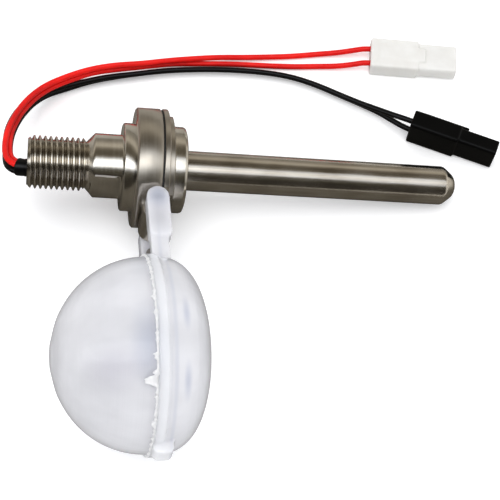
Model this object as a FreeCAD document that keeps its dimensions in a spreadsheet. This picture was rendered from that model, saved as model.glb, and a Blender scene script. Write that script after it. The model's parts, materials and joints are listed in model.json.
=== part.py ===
"""Float level switch with a temperature probe.

A stainless body screws into a tank wall and carries a closed probe tube. A hollow polypropylene float hangs from a
lug on the body's flange by two arms and swings on a steel pin. Magnets in the arms work a reed switch in the bore.
A red pair of leads ends in a white connector, a black pair in a black one.

Every rigid piece is drawn in the body frame: X runs along the axis towards the probe's tip from the wall side of
the flange, the float hangs towards -Y and the hinge pin lies along Z. One placement then lays the whole switch
down as it rests on a table, on its flange, the nose of its probe and the rim of its float. Millimetres throughout.
"""
import FreeCAD, Part
import Sketcher
import math
import os

Vector = FreeCAD.Vector

SIZES = [
    # threaded end and wrench section
    ("thread_d", 13.16), ("thread_depth", 0.86), ("thread_len", 14.2), ("thread_lead_in", 1.1),
    ("runout_len", 0.7), ("thread_cone", 2.1),
    ("wrench_d", 16.0), ("wrench_len", 6.8), ("flat_across", 13.0), ("flat_span", 9.6),
    ("flat_corner", 1.8), ("flat_land", 0.5), ("edge_break", 0.3), ("foot_chamfer", 0.25),
    # collar, flange and hinge lug
    ("collar_d", 22.0), ("collar_len", 3.0), ("flange_d", 30.0), ("flange_len", 6.0), ("rim_plate", 1.1),
    ("hinge_cut", 11.9), ("cut_corner", 0.9), ("lug_gap", 0.5), ("lug_thick", 10.6), ("lug_radius", 3.2),
    ("pin_drop", 15.2), ("pin_d", 2.5), ("pin_end_gap", 0.2),
    # probe hub, seal and tube
    ("seal_d", 29.4), ("seal_thick", 0.45), ("hub_disc", 1.3), ("hub_step_d", 26.5), ("hub_step", 1.25),
    ("relief_d", 20.0), ("relief_len", 0.4), ("hub_collar_d", 21.7), ("hub_collar_len", 3.2),
    ("hub_round", 0.8), ("spigot_d", 16.0), ("spigot_len", 3.4), ("bore_d", 6.4), ("tube_d", 10.0),
    ("tube_wall", 1.0), ("tube_reach", 80.4), ("nose_len", 3.2), ("nose_d", 4.8), ("nose_wall", 1.4),
    # what the bore holds
    ("exit_bore_d", 8.0), ("sleeve_d", 4.4), ("sleeve_out", 0.5), ("sleeve_in", 4.0), ("sleeve_side", 1.731),
    ("sleeve_drop", 0.259), ("reed_d", 2.6), ("reed_len", 14.0),
    ("resin_end", 14.0), ("tip_resin_len", 9.0), ("bead_d", 2.6), ("bead_len", 4.0), ("lead_d", 1.1),
    ("lead_gap", 2.4),
    # float
    ("float_drop", 52.4), ("float_r", 22.5), ("rim_r", 23.2), ("rim_width", 2.4), ("rim_offset", 4.6),
    ("dome_depth", 21.6), ("cap_depth", 12.0), ("cap_power", 2.4), ("shell_wall", 1.3),
    ("arm_gap", 0.4), ("arm_thick", 5.0), ("arm_width", 5.4), ("arm_len", 11.2), ("neck_width", 4.3),
    ("neck_thick", 3.6), ("neck_shift", 0.35), ("eye_clearance", 0.05), ("eye_floor", 1.2),
    ("magnet_d", 3.0), ("magnet_len", 3.4), ("magnet_drop", 6.2), ("tab_width", 4.6), ("tab_out", 1.9),
    ("tab_thick", 5.0), ("float_swing", 3.2),
    # leads and connectors
    ("wire_d", 1.5), ("wire_ring", 1.22), ("plug_w", 9.2), ("plug_t", 5.2), ("plug_len", 23.5),
    ("plug_rear", 13.0), ("plug_step", 0.45), ("plug_round", 0.7), ("wire_pitch", 4.5), ("wire_hole", 2.3),
    ("hole_depth", 3.0), ("mouth_depth", 7.0), ("mouth_wall", 0.9), ("latch_w", 4.2), ("latch_t", 1.5),
    ("latch_len", 12.6), ("terminal_d", 1.6), ("terminal_out", 5.6), ("terminal_in", 3.0),
]

doc = FreeCAD.newDocument("float_level_switch")
sheet = doc.addObject("Spreadsheet::Sheet", "Sizes")


def fill_sheet():
    """Write each size as a plain number beside its name, with the name as the cell's alias."""
    for row, (name, value) in enumerate(SIZES, start=1):
        sheet.set("A%d" % row, name)
        sheet.set("B%d" % row, str(value))
        sheet.setAlias("B%d" % row, name)
    doc.recompute()


class Size:
    """A length worked out from the sheet: its number, and the expression that keeps a property tied to it."""

    def __init__(self, number, text):
        self.number = number
        self.text = text

    def joined(self, other, sign, number):
        return Size(number, "(%s %s %s)" % (self.text, sign, other.text))

    def __add__(self, other):
        other = size(other)
        return self.joined(other, "+", self.number + other.number)

    def __sub__(self, other):
        other = size(other)
        return self.joined(other, "-", self.number - other.number)

    def __mul__(self, other):
        other = size(other)
        return self.joined(other, "*", self.number * other.number)

    def __truediv__(self, other):
        other = size(other)
        return self.joined(other, "/", self.number / other.number)

    def __neg__(self):
        return size(0) - self


def size(source):
    """A Size from a cell's alias, a plain number or another Size."""
    if isinstance(source, Size):
        return source
    if isinstance(source, str):
        return Size(float(sheet.get(source)), "Sizes.%s" % source)
    return Size(float(source), repr(float(source)))


def bind(thing, **sizes):
    """Tie properties of an object to the sheet."""
    for name, length in sizes.items():
        thing.setExpression(name, size(length).text)


def origin_plane(body, role):
    """The body's own origin plane of that role."""
    for feature in body.Origin.OriginFeatures:
        if feature.Role == role:
            return feature
    raise RuntimeError("no plane " + role)


def new_body(name):
    body = doc.addObject("PartDesign::Body", name)
    body.Label = name
    return body


def outline(body, name, plane, corners, offset=None):
    """A closed sketch of straight sides, with both coordinates of every corner tied to the sheet."""
    sketch = body.newObject("Sketcher::SketchObject", name)
    sketch.AttachmentSupport = [(origin_plane(body, plane), "")]
    sketch.MapMode = "FlatFace"
    if offset is not None:
        sketch.AttachmentOffset.Base = Vector(0, 0, offset.number)
        sketch.setExpression(".AttachmentOffset.Base.z", offset.text)
    points = [(size(x), size(y)) for x, y in corners]
    count = len(points)
    for i in range(count):
        start = Vector(points[i][0].number, points[i][1].number, 0)
        end = Vector(points[(i + 1) % count][0].number, points[(i + 1) % count][1].number, 0)
        sketch.addGeometry(Part.LineSegment(start, end), False)
    for i in range(count):
        sketch.addConstraint(Sketcher.Constraint("Coincident", i, 2, (i + 1) % count, 1))
    for i, (x, y) in enumerate(points):
        for kind, length in (("DistanceX", x), ("DistanceY", y)):
            index = sketch.addConstraint(Sketcher.Constraint(kind, -1, 1, i, 1, length.number))
            sketch.setExpression("Constraints[%d]" % index, length.text)
    return sketch


def revolve(body, sketch, cut=False):
    """Turn a sketch a full circle about its own horizontal axis, as material or as a groove."""
    feature = body.newObject("PartDesign::Groove" if cut else "PartDesign::Revolution", sketch.Name + "_turned")
    feature.Profile = sketch
    feature.ReferenceAxis = (sketch, ["H_Axis"])
    feature.Angle = 360
    return feature


def through_pocket(body, sketch):
    """Cut a sketch away on both sides of its plane, right through the body."""
    pocket = body.newObject("PartDesign::Pocket", sketch.Name + "_cut")
    pocket.Profile = sketch
    pocket.Type = 1
    pocket.Midplane = True
    return pocket


def middle_pad(body, sketch, thickness):
    """Pad a sketch half to each side of its plane."""
    pad = body.newObject("PartDesign::Pad", sketch.Name + "_pad")
    pad.Profile = sketch
    pad.Midplane = True
    bind(pad, Length=thickness)
    return pad


def cylinder(name, radius, height, start, axis=Vector(1, 0, 0)):
    """A Part cylinder whose start point and length are tied to the sheet, lying along X or along Z."""
    rod = doc.addObject("Part::Cylinder", name)
    bind(rod, Radius=radius, Height=height)
    rod.Placement.Rotation = FreeCAD.Rotation(Vector(0, 0, 1), axis)
    for letter, length in zip("xyz", start):
        rod.setExpression("Placement.Base." + letter, size(length).text)
    return rod


def box(name, low, high):
    """A Part box between two corners tied to the sheet."""
    block = doc.addObject("Part::Box", name)
    low = [size(value) for value in low]
    high = [size(value) for value in high]
    bind(block, Length=high[0] - low[0], Width=high[1] - low[1], Height=high[2] - low[2])
    for letter, length in zip("xyz", low):
        block.setExpression("Placement.Base." + letter, length.text)
    return block


def rounded(name, base, radius, axis):
    """Round the edges of a block that run along an axis."""
    doc.recompute()
    chosen = []
    for number, edge in enumerate(base.Shape.Edges, start=1):
        if edge.Curve.TypeId == "Part::GeomLine" and abs(edge.tangentAt(edge.FirstParameter).dot(axis)) > 0.999:
            chosen.append((number, radius.number, radius.number))
    fillet = doc.addObject("Part::Fillet", name)
    fillet.Base = base
    fillet.Edges = chosen
    return fillet


def fused(name, pieces):
    union = doc.addObject("Part::MultiFuse", name)
    union.Shapes = pieces
    return union


def cut(name, base, tool):
    difference = doc.addObject("Part::Cut", name)
    difference.Base = base
    difference.Tool = tool
    return difference


# ---------------------------------------------------------------- stations along the axis

fill_sheet()
wrench_end = -size("collar_len")
wrench_start = wrench_end - "wrench_len"
cone_start = wrench_start - "thread_cone"
thread_end = cone_start - "thread_len"
seal_end = size("flange_len") + "seal_thick"
disc_end = seal_end + "hub_disc"
step_end = disc_end + "hub_step"
relief_end = step_end + "relief_len"
hub_end = relief_end + "hub_collar_len"
tube_start = size("flange_len") - "spigot_len"
tip = size("tube_reach") + "nose_len"
pin_x = size("rim_plate") + "lug_gap" + "lug_radius"
pin_y = -size("pin_drop")
arm_inner = size("lug_thick") / 2 + "arm_gap"
arm_outer = arm_inner + "arm_thick"
rim_left = pin_x - "rim_offset"
rim_right = rim_left + "rim_width"
float_y = -size("float_drop")
fringe = size(2.0)


def make_threaded_body():
    """Turned body: thread blank, cone, wrench section with two flats, collar, flange with the hinge cut, and lug."""
    body = new_body("turned_body")
    root = size("thread_d") / 2 - "thread_depth"
    crest = size("thread_d") / 2
    corners = [
        (thread_end, root),
        (thread_end + "thread_lead_in", crest),
        (cone_start - "runout_len", crest),
        (cone_start, root),
        (wrench_start, size("wrench_d") / 2),
        (wrench_end - "foot_chamfer", size("wrench_d") / 2),
        (wrench_end, size("wrench_d") / 2 + "foot_chamfer"),
        (wrench_end, size("collar_d") / 2 - "edge_break"),
        (wrench_end + "edge_break", size("collar_d") / 2),
        (0, size("collar_d") / 2),
        (0, size("flange_d") / 2 - "edge_break"),
        (size("edge_break"), size("flange_d") / 2),
        (size("flange_len") - "edge_break", size("flange_d") / 2),
        (size("flange_len"), size("flange_d") / 2 - "edge_break"),
        (size("flange_len"), size("spigot_d") / 2),
        (tube_start, size("spigot_d") / 2),
        (tube_start, size("bore_d") / 2),
        (thread_end + "sleeve_in", size("bore_d") / 2),
        (thread_end + "sleeve_in", size("exit_bore_d") / 2),
        (thread_end, size("exit_bore_d") / 2),
    ]
    revolve(body, outline(body, "body_profile", "XY_Plane", corners))
    outside = -size("flange_d")
    ceiling = -size("hinge_cut")
    hinge_cut = outline(body, "hinge_cut", "XY_Plane", [
        ("rim_plate", outside),
        (size("flange_len") + fringe, outside),
        (size("flange_len") + fringe, ceiling),
        (size("rim_plate") + "cut_corner", ceiling),
        ("rim_plate", ceiling - "cut_corner"),
    ])
    through_pocket(body, hinge_cut)
    lug_left = pin_x - "lug_radius"
    lug_right = pin_x + "lug_radius"
    root_depth = ceiling + 1.0
    lug = outline(body, "lug", "XY_Plane", [
        (lug_left, root_depth),
        (lug_left, pin_y),
        (lug_right, pin_y),
        (lug_right, ceiling - "arm_gap"),
        ("flange_len", ceiling - "arm_gap"),
        ("flange_len", root_depth),
    ])
    middle_pad(body, lug, "lug_thick")
    nose = cylinder("lug_nose", "lug_radius", "lug_thick", (pin_x, pin_y, -size("lug_thick") / 2), Vector(0, 0, 1))
    flats = []
    for side in (-1, 1):
        inner = size("flat_across") / 2 * side
        outer = size("wrench_d") / 2 * side * 1.4
        low, high = (inner, outer) if side > 0 else (outer, inner)
        block = box("flat_block", (wrench_start - size("thread_cone") / 2, low, -size("flat_span") / 2),
                    (wrench_end - "flat_land", high, size("flat_span") / 2))
        flats.append(rounded("flat_cutter", block, size("flat_corner"), Vector(0, 1, 0)))
    eye = cylinder("lug_eye", size("pin_d") / 2, size("lug_thick") * 2, (pin_x, pin_y, -size("lug_thick")),
                   Vector(0, 0, 1))
    return cut("threaded_body", fused("body_with_nose", [body, nose]), fused("body_cutters", flats + [eye]))


def make_seal_ring():
    """Flat black gasket between the flange and the probe hub, trimmed by the hinge cut."""
    ring = cylinder("seal_disc", size("seal_d") / 2, "seal_thick", ("flange_len", 0, 0))
    hole = cylinder("seal_hole", size("spigot_d") / 2, "seal_thick", ("flange_len", 0, 0))
    return cut("seal_ring", ring, fused("seal_cutters", [hole, hinge_trim("seal_trim")]))


def hinge_trim(name):
    """The block that the hinge cut takes off the seal and the hub."""
    reach = size("flange_d")
    return box(name, ("flange_len", -reach, -reach), (step_end + 0.2, -size("hinge_cut"), reach))


def make_probe_hub():
    """Turned hub: spigot, disc, step, relief and collar, bored for the probe tube, with the hinge cut's flat."""
    body = new_body("turned_hub")
    corners = [
        (tube_start, size("tube_d") / 2),
        (tube_start, size("spigot_d") / 2),
        (seal_end, size("spigot_d") / 2),
        (seal_end, size("flange_d") / 2 - size("edge_break") / 2),
        (seal_end + size("edge_break") / 2, size("flange_d") / 2),
        (disc_end - size("edge_break") / 2, size("flange_d") / 2),
        (disc_end, size("flange_d") / 2 - size("edge_break") / 2),
        (disc_end, size("hub_step_d") / 2),
        (step_end, size("hub_step_d") / 2),
        (step_end, size("relief_d") / 2),
        (relief_end, size("relief_d") / 2),
        (relief_end, size("hub_collar_d") / 2),
        (hub_end - "hub_round", size("hub_collar_d") / 2),
        (hub_end - size("hub_round") * 0.3, size("hub_collar_d") / 2 - size("hub_round") * 0.3),
        (hub_end, size("hub_collar_d") / 2 - "hub_round"),
        (hub_end, size("tube_d") / 2),
    ]
    revolve(body, outline(body, "hub_profile", "XY_Plane", corners))
    return cut("probe_hub", body, hinge_trim("hub_trim"))


def make_probe_tube():
    """Drawn tube closed by a coned nose, bored from the hub end."""
    body = new_body("probe_tube")
    bore = size("tube_d") / 2 - "tube_wall"
    shoulder = size("edge_break")
    corners = [
        (tube_start, bore),
        (tube_start, size("tube_d") / 2),
        (size("tube_reach") - shoulder * 2, size("tube_d") / 2),
        (size("tube_reach"), size("tube_d") / 2 - shoulder),
        (tip - shoulder, size("nose_d") / 2 + shoulder / 2),
        (tip, size("nose_d") / 2 - shoulder),
        (tip + size("nose_wall") / 8, 0),
        (tip - "nose_wall", 0),
        (tip - "nose_wall", size("nose_d") / 4),
        (size("tube_reach") - "nose_wall", bore),
    ]
    revolve(body, outline(body, "tube_profile", "XY_Plane", corners))
    return body


def make_sealed_core():
    """The reed switch in the body's resin, and the thermistor bead in the resin at the probe's tip."""
    resin_start = thread_end + "sleeve_in"
    reed_start = pin_x - size("reed_len") / 2
    reed = cylinder("reed_switch", size("reed_d") / 2, "reed_len", (reed_start, 0, 0))
    resin_rod = cylinder("resin_rod", size("bore_d") / 2, size("resin_end") - resin_start, (resin_start, 0, 0))
    reed_space = cylinder("reed_space", size("reed_d") / 2, "reed_len", (reed_start, 0, 0))
    bore_resin = cut("bore_resin", resin_rod, reed_space)
    tip_start = size("tube_reach") - "nose_wall" - "tip_resin_len"
    bead_start = tip_start + size("tip_resin_len") / 2 - size("bead_len") / 2
    bead = cylinder("thermistor", size("bead_d") / 2, "bead_len", (bead_start, 0, 0))
    tip_rod = cylinder("tip_rod", size("tube_d") / 2 - "tube_wall", "tip_resin_len", (tip_start, 0, 0))
    bead_space = cylinder("bead_space", size("bead_d") / 2, "bead_len", (bead_start, 0, 0))
    tip_resin = cut("tip_resin", tip_rod, bead_space)
    leads = []
    for side in (-1, 1):
        leads.append(cylinder("inner_lead", size("lead_d") / 2, tip_start - "resin_end",
                              ("resin_end", 0, size("lead_gap") / 2 * side)))
    inner_leads = fused("inner_leads", leads)
    return [reed, bore_resin, bead, tip_resin, inner_leads]


def make_exit_sleeve():
    """Black potting plug in the wider mouth of the bore, with the short sleeve the four leads come out of."""
    tail = cylinder("sleeve_tail", size("sleeve_d") / 2, size("sleeve_in") / 2 + "sleeve_out",
                    (thread_end - "sleeve_out", -size("sleeve_side"), -size("sleeve_drop")))
    plug = cylinder("sleeve_plug", size("exit_bore_d") / 2, "sleeve_in", (thread_end, 0, 0))
    return fused("exit_sleeve", [tail, plug])


def make_hinge_pin():
    """Plain steel pin, tight in the lug and free in the arms."""
    half = arm_outer - "eye_floor" - "pin_end_gap"
    return cylinder("hinge_pin", size("pin_d") / 2, half * 2, (pin_x, pin_y, -half), Vector(0, 0, 1))


# ---------------------------------------------------------------- float shells

def dome_face(depth, radius, power, side):
    """Quarter of a superellipse between the float's axis and its rim, (x/depth)^n + (r/radius)^n = 1, as a face."""
    steps = 9
    points = []
    for i in range(steps + 1):
        angle = math.pi / 2 * i / steps
        x = depth * math.sin(angle) ** (2 / power)
        r = radius * math.cos(angle) ** (2 / power) if i < steps else 0.0
        points.append(Vector(side * x, r, 0))
    curve = Part.BSplineCurve()
    curve.interpolate(Points=points, InitialTangent=Vector(side, 0, 0), FinalTangent=Vector(0, -1, 0))
    corner = Vector(0, 0, 0)
    sides = [curve.toShape(), Part.makeLine(points[-1], corner), Part.makeLine(corner, points[0])]
    return Part.Face(Part.Wire(sides))


def dome_solid(depth, radius, power, side, station):
    """A solid dome about the float's axis that stands on the plane X = station."""
    solid = dome_face(depth, radius, power, side).revolve(Vector(0, 0, 0), Vector(1, 0, 0), 360)
    solid = Part.Solid(Part.Shell(solid.Faces)) if solid.ShapeType != "Solid" else solid
    solid.translate(Vector(station, float_y.number, 0))
    return solid


def make_float_dome():
    """Deep half of the float, a thin blown dome that is welded to the cap along its rim."""
    wall = size("shell_wall").number
    depth = size("dome_depth").number
    radius = size("float_r").number
    outer = dome_solid(depth, radius, 2.0, -1, rim_left.number)
    inner = dome_solid(depth - wall, radius - wall, 2.0, -1, rim_left.number)
    feature = doc.addObject("Part::Feature", "float_dome")
    feature.Shape = outer.cut(inner)
    return feature


def arm_shape(side):
    """One hinge arm: a block with a round head about the pin, and a narrower neck down into the cap."""
    width = size("arm_width").number
    thick = size("arm_thick").number
    neck_thick = size("neck_thick").number
    inner = arm_inner.number if side > 0 else -arm_outer.number
    px, py = pin_x.number, pin_y.number
    foot = py - size("arm_len").number
    head = Part.makeCylinder(width / 2, thick, Vector(px, py, inner), Vector(0, 0, 1))
    block = Part.makeBox(width, py - foot, thick, Vector(px - width / 2, foot, inner))
    corner = width / 4
    feet = [edge for edge in block.Edges if abs(edge.BoundBox.YMax - foot) < 0.001 and edge.BoundBox.ZLength > 1]
    block = block.makeFillet(corner, feet)
    neck_width = size("neck_width").number
    neck_left = px - neck_width / 2 - size("neck_shift").number
    neck_low = float_y.number + size("float_r").number * 0.8
    neck_z = inner + (thick - neck_thick) / 2
    neck = Part.makeBox(neck_width, foot + corner - neck_low, neck_thick, Vector(neck_left, neck_low, neck_z))
    return head.fuse([block, neck]).removeSplitter()


def make_float_cap():
    """Shallow half of the float with its welding rim, moulding tab and two hinge arms, all one moulding."""
    wall = size("shell_wall").number
    radius = size("float_r").number
    power = size("cap_power").number
    rim_x = rim_right.number
    width = size("rim_width").number
    axis_y = float_y.number
    cap = dome_solid(size("cap_depth").number, radius, power, 1, rim_x)
    rim = Part.makeCylinder(size("rim_r").number, width, Vector(rim_left.number, axis_y, 0), Vector(1, 0, 0))
    tab_w = size("tab_width").number
    tab_t = size("tab_thick").number
    tab_y = axis_y - size("rim_r").number - size("tab_out").number
    tab = Part.makeBox(tab_w, size("tab_out").number + radius * 0.2, tab_t, Vector(rim_left.number, tab_y, -tab_t / 2))
    low_edges = [edge for edge in tab.Edges if abs(edge.BoundBox.YMax - tab_y) < 0.001 and edge.BoundBox.ZLength > 1]
    tab = tab.makeFillet(size("tab_out").number * 0.7, low_edges)
    shell = cap.fuse([rim, tab, arm_shape(1), arm_shape(-1)])
    hollow = dome_solid(size("cap_depth").number - wall, radius - wall, power, 1, rim_x)
    throat = Part.makeCylinder(radius - wall, width, Vector(rim_left.number, axis_y, 0), Vector(1, 0, 0))
    shell = shell.cut([hollow, throat] + eye_and_magnet_pockets())
    feature = doc.addObject("Part::Feature", "float_cap")
    feature.Shape = shell.removeSplitter()
    return feature


def eye_and_magnet_pockets():
    """Blind eyes for the pin's ends and blind pockets for the magnets, all open to the lug side of the arms."""
    pockets = []
    eye_r = size("pin_d").number / 2 + size("eye_clearance").number
    depth = size("arm_thick").number - size("eye_floor").number
    magnet_y = pin_y.number - size("magnet_drop").number
    for side in (-1, 1):
        start = side * arm_inner.number
        along = Vector(0, 0, side)
        pockets.append(Part.makeCylinder(eye_r, depth, Vector(pin_x.number, pin_y.number, start), along))
        pockets.append(Part.makeCylinder(size("magnet_d").number / 2, size("magnet_len").number,
                                         Vector(pin_x.number, magnet_y, start), along))
    return pockets


def make_magnet(name, side):
    """Disc magnet that fills its pocket in one arm."""
    start = arm_inner if side > 0 else -(arm_inner + "magnet_len")
    return cylinder(name, size("magnet_d") / 2, "magnet_len", (pin_x, pin_y - "magnet_drop", start), Vector(0, 0, 1))


# ---------------------------------------------------------------- resting attitude

def rest_placement():
    """Lay the body frame on the table: on the hub disc's edge, the tube's nose end and the float's rim."""
    big = size("flange_d").number / 2
    small = size("tube_d").number / 2
    run = size("tube_reach").number - disc_end.number
    pitch = math.atan2(big - small, run)
    height = disc_end.number * math.sin(pitch) + big * math.cos(pitch)
    swing = math.radians(size("float_swing").number)
    dx = (rim_left.number + rim_right.number) / 2 - pin_x.number
    dy = float_y.number - pin_y.number
    centre_x = pin_x.number + dx * math.cos(swing) - dy * math.sin(swing)
    centre_y = pin_y.number + dx * math.sin(swing) + dy * math.cos(swing)
    roll = 0.0
    for _ in range(30):
        normal_z = -math.cos(swing) * math.sin(pitch) - math.sin(swing) * math.sin(roll) * math.cos(pitch)
        ring_drop = size("rim_r").number * math.sqrt(1 - normal_z ** 2)
        edge_drop = size("rim_width").number / 2 * abs(normal_z)
        lift = ring_drop + edge_drop - height + centre_x * math.sin(pitch)
        roll = math.asin(-lift / (centre_y * math.cos(pitch)))
    turn = FreeCAD.Rotation(Vector(0, 1, 0), math.degrees(pitch))
    turn = turn.multiply(FreeCAD.Rotation(Vector(1, 0, 0), -math.degrees(roll)))
    print("pitch %.3f roll %.3f axis height %.3f" % (math.degrees(pitch), math.degrees(roll), height))
    return FreeCAD.Placement(Vector(0, 0, height), turn)


def swing_placement():
    """Turn the float about the hinge pin to the angle at which it lies."""
    pin = Vector(pin_x.number, pin_y.number, 0)
    turn = FreeCAD.Rotation(Vector(0, 0, 1), size("float_swing").number)
    return FreeCAD.Placement(pin - turn.multVec(pin), turn)


# ---------------------------------------------------------------- connectors

def plug_placement(rear, heading, on_edge):
    """Stand a connector at the centre of its rear face, along a heading, flat or on its narrow side."""
    turn = FreeCAD.Rotation(Vector(0, 0, 1), heading)
    if on_edge:
        turn = turn.multiply(FreeCAD.Rotation(Vector(1, 0, 0), -90))
    return FreeCAD.Placement(rear, turn)


def make_connector(name):
    """Two-way housing: rear block with two wire holes, a slightly slimmer nose with its mouth, and a latch."""
    half_w = size("plug_w") / 2
    half_t = size("plug_t") / 2
    step = size("plug_step")
    along = Vector(1, 0, 0)
    rear = rounded(name + "_rear_soft", box(name + "_rear", (0, -half_w, -half_t), ("plug_rear", half_w, half_t)),
                   size("plug_round"), along)
    nose = rounded(name + "_nose_soft", box(name + "_nose", (size("plug_rear") - 1, step - half_w, step - half_t),
                   ("plug_len", half_w - step, half_t - step)), size("plug_round"), along)
    latch_start = size("plug_rear") - "latch_len" + 2.0
    latch = rounded(name + "_latch_soft", box(name + "_latch", (latch_start, -size("latch_w") / 2, half_t - 1),
                    (latch_start + "latch_len", size("latch_w") / 2, half_t + "latch_t")), step, along)
    wall = size("mouth_wall") + step
    mouth = box(name + "_mouth", (size("plug_len") - "mouth_depth", wall - half_w, wall - half_t),
                (size("plug_len") + 1, half_w - wall, half_t - wall))
    tools = [mouth]
    for side in (-1, 1):
        tools.append(cylinder(name + "_wire_hole", size("wire_hole") / 2, "hole_depth",
                              (0, size("wire_pitch") / 2 * side, 0)))
        start = size("plug_len") - "mouth_depth" - "terminal_in"
        tools.append(cylinder(name + "_pin_hole", size("terminal_d") / 2, size("terminal_in") + 1,
                              (start, size("wire_pitch") / 2 * side, 0)))
    return cut(name, fused(name + "_solid", [rear, nose, latch]), fused(name + "_cutters", tools))


def make_terminals(name):
    """The connector's pair of round contacts, set in the floor of its mouth."""
    start = size("plug_len") - "mouth_depth" - "terminal_in"
    length = size("terminal_in") + "terminal_out"
    pins = []
    for side in (-1, 1):
        pins.append(cylinder(name + "_pin", size("terminal_d") / 2, length, (start, size("wire_pitch") / 2 * side, 0)))
    return fused(name, pins)


# ---------------------------------------------------------------- leads

def rounded_path(points):
    """Straight runs joined by tangent arcs, each as large as its two runs allow. Returns the edges and the radii."""
    edges = []
    radii = []
    last = points[0]
    for before, corner, after in zip(points, points[1:], points[2:]):
        arriving = (corner - before).normalize()
        leaving = (after - corner).normalize()
        half_turn = math.acos(max(-1.0, min(1.0, arriving.dot(leaving)))) / 2
        reach = 0.45 * min((corner - before).Length, (after - corner).Length)
        radius = reach / math.tan(half_turn)
        start = corner - arriving * reach
        end = corner + leaving * reach
        bisector = (leaving - arriving).normalize()
        middle = corner + bisector * (radius / math.cos(half_turn) - radius)
        edges.append(Part.LineSegment(last, start).toShape())
        edges.append(Part.Arc(start, middle, end).toShape())
        radii.append(radius)
        last = end
    edges.append(Part.LineSegment(last, points[-1]).toShape())
    return edges, radii


def make_lead(name, route):
    """Sweep the lead's round section along its path, and compare the volume with section times length."""
    points = [Vector(*point) for point in route]
    edges, radii = rounded_path(points)
    path = Part.Wire(edges)
    radius = size("wire_d").number / 2
    ring = Part.Wire([Part.makeCircle(radius, points[0], (points[1] - points[0]).normalize())])
    tube = path.makePipeShell([ring], True, False)
    length = sum(edge.Length for edge in edges)
    ratio = tube.Volume / (math.pi * radius * radius * length)
    print("%s length %.1f smallest radius %.1f volume ratio %.3f" % (name, length, min(radii), ratio))
    print("   arc radii " + " ".join("%.1f" % value for value in radii))
    feature = doc.addObject("Part::Feature", name)
    feature.Shape = tube
    return feature


# Each lead: its place round the ring of four where they leave the sleeve, in degrees, its first run, the connector
# hole it ends in, and the points it passes on its way along the table.
ROUTES = {
    "red_lead_outer": (98.9, 1.29, "white", 1, [
        (-28.78, -1.36, 20.8), (-29.89, -0.55, 20.57), (-30.73, 0.62, 20.17), (-31.24, 2.12, 19.58),
        (-31.52, 3.86, 18.89), (-31.65, 5.92, 18.12), (-31.62, 8.27, 17.26), (-31.35, 10.94, 16.17),
        (-30.76, 13.98, 14.77), (-29.86, 17.46, 13.06), (-28.51, 21.3, 11.15), (-26.4, 25.33, 9.08),
        (-23.17, 29.32, 7.14), (-18.14, 32.44, 6.12), (-12.23, 35.13, 5.41), (-5.46, 36.88, 4.67),
        (1.51, 37.66, 4.08), (8.4, 39.01, 3.43), (15.33, 40.08, 2.7), (22.27, 41, 1.93),
        (29.25, 41.5, 1.08), (36.28, 41.82, 0.78), (43.32, 42.09, 0.78), (49.41, 42.77, 0.78),
        (54.71, 43.06, 0.8), (59.34, 42.64, 1.42), (63.32, 43.51, 2.6),
    ]),
    "red_lead_inner": (9.3, 1.29, "white", -1, [
        (-28.78, 0.21, 19.41), (-29.63, 1.13, 18.8), (-30.17, 2.33, 18.1), (-30.51, 3.82, 17.36),
        (-30.75, 5.55, 16.6), (-30.91, 7.58, 15.76), (-30.93, 9.86, 14.76), (-30.65, 12.48, 13.53),
        (-30, 15.47, 12.06), (-29.08, 18.85, 10.39), (-27.55, 22.5, 8.53), (-25.38, 26.39, 6.55),
        (-21.8, 30.01, 4.96), (-16.71, 32.82, 4.2), (-10.94, 35.4, 3.46), (-4.25, 36.7, 2.81),
        (2.47, 37.9, 2.22), (9.17, 39.15, 1.56), (15.99, 39.63, 0.93), (22.85, 39.64, 0.78),
        (29.71, 39.36, 0.79), (36.56, 38.95, 0.78), (43.42, 38.69, 0.78), (49.39, 38.9, 0.78),
        (54.55, 38.73, 0.87), (59.04, 38.1, 1.39), (62.87, 39.04, 2.6),
    ]),
    "black_lead_outer": (-170.7, 1.29, "black", -1, [
        (-28.97, -2.39, 19.28), (-30.06, -1.62, 18.89), (-30.85, -0.51, 18.28), (-31.34, 0.9, 17.47),
        (-31.63, 2.53, 16.55), (-31.85, 4.49, 15.57), (-32.06, 6.79, 14.63), (-32.26, 9.52, 13.65),
        (-32.15, 12.71, 12.5), (-31.47, 16.36, 11.02), (-30.3, 20.28, 9.13), (-28.31, 24.21, 6.7),
        (-25.21, 28.08, 4.3), (-20.22, 31.07, 2.85), (-13.96, 33.01, 2.49), (-7.08, 34.63, 2.43),
        (-0.05, 35.43, 2.42), (6.96, 36.45, 2.42), (14.02, 36.82, 2.42), (21.1, 36.88, 2.42),
        (28.17, 36.55, 2.42), (35.21, 35.86, 2.42), (42.16, 34.52, 2.42), (48.74, 31.95, 2.5),
        (54.97, 28.59, 2.8), (60.26, 25.55, 3.52), (64.7, 22.89, 4.79), (68.48, 20.42, 6.18),
        (72.27, 18.52, 6.85),
    ]),
    "black_lead_inner": (-81.0, 1.29, "black", 1, [
        (-28.89, -0.82, 17.82), (-29.61, 0.04, 16.99), (-30.1, 1.12, 16.08), (-30.46, 2.48, 15.12),
        (-30.77, 4.09, 14.18), (-31.08, 6.07, 13.27), (-31.25, 8.43, 12.46), (-31.12, 11.19, 11.6),
        (-30.58, 14.34, 10.43), (-29.72, 17.82, 8.79), (-28.62, 21.45, 6.45), (-27.06, 25.37, 3.84),
        (-23.85, 29.24, 1.84), (-18.56, 31.76, 0.9), (-12.51, 34.08, 0.8), (-5.69, 35.57, 0.78),
        (1.21, 36.67, 0.78), (8.15, 37.5, 0.78), (15.13, 37.83, 0.78), (22.12, 37.88, 0.78),
        (29.09, 37.5, 0.78), (36.04, 36.78, 0.78), (42.87, 35.34, 0.78), (49.35, 32.73, 0.78),
        (55.56, 29.53, 0.78), (60.99, 26.8, 0.81), (65.51, 24.15, 1.11), (68.95, 21.1, 1.86),
        (72.27, 18.52, 2.35),
    ]),
}


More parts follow.
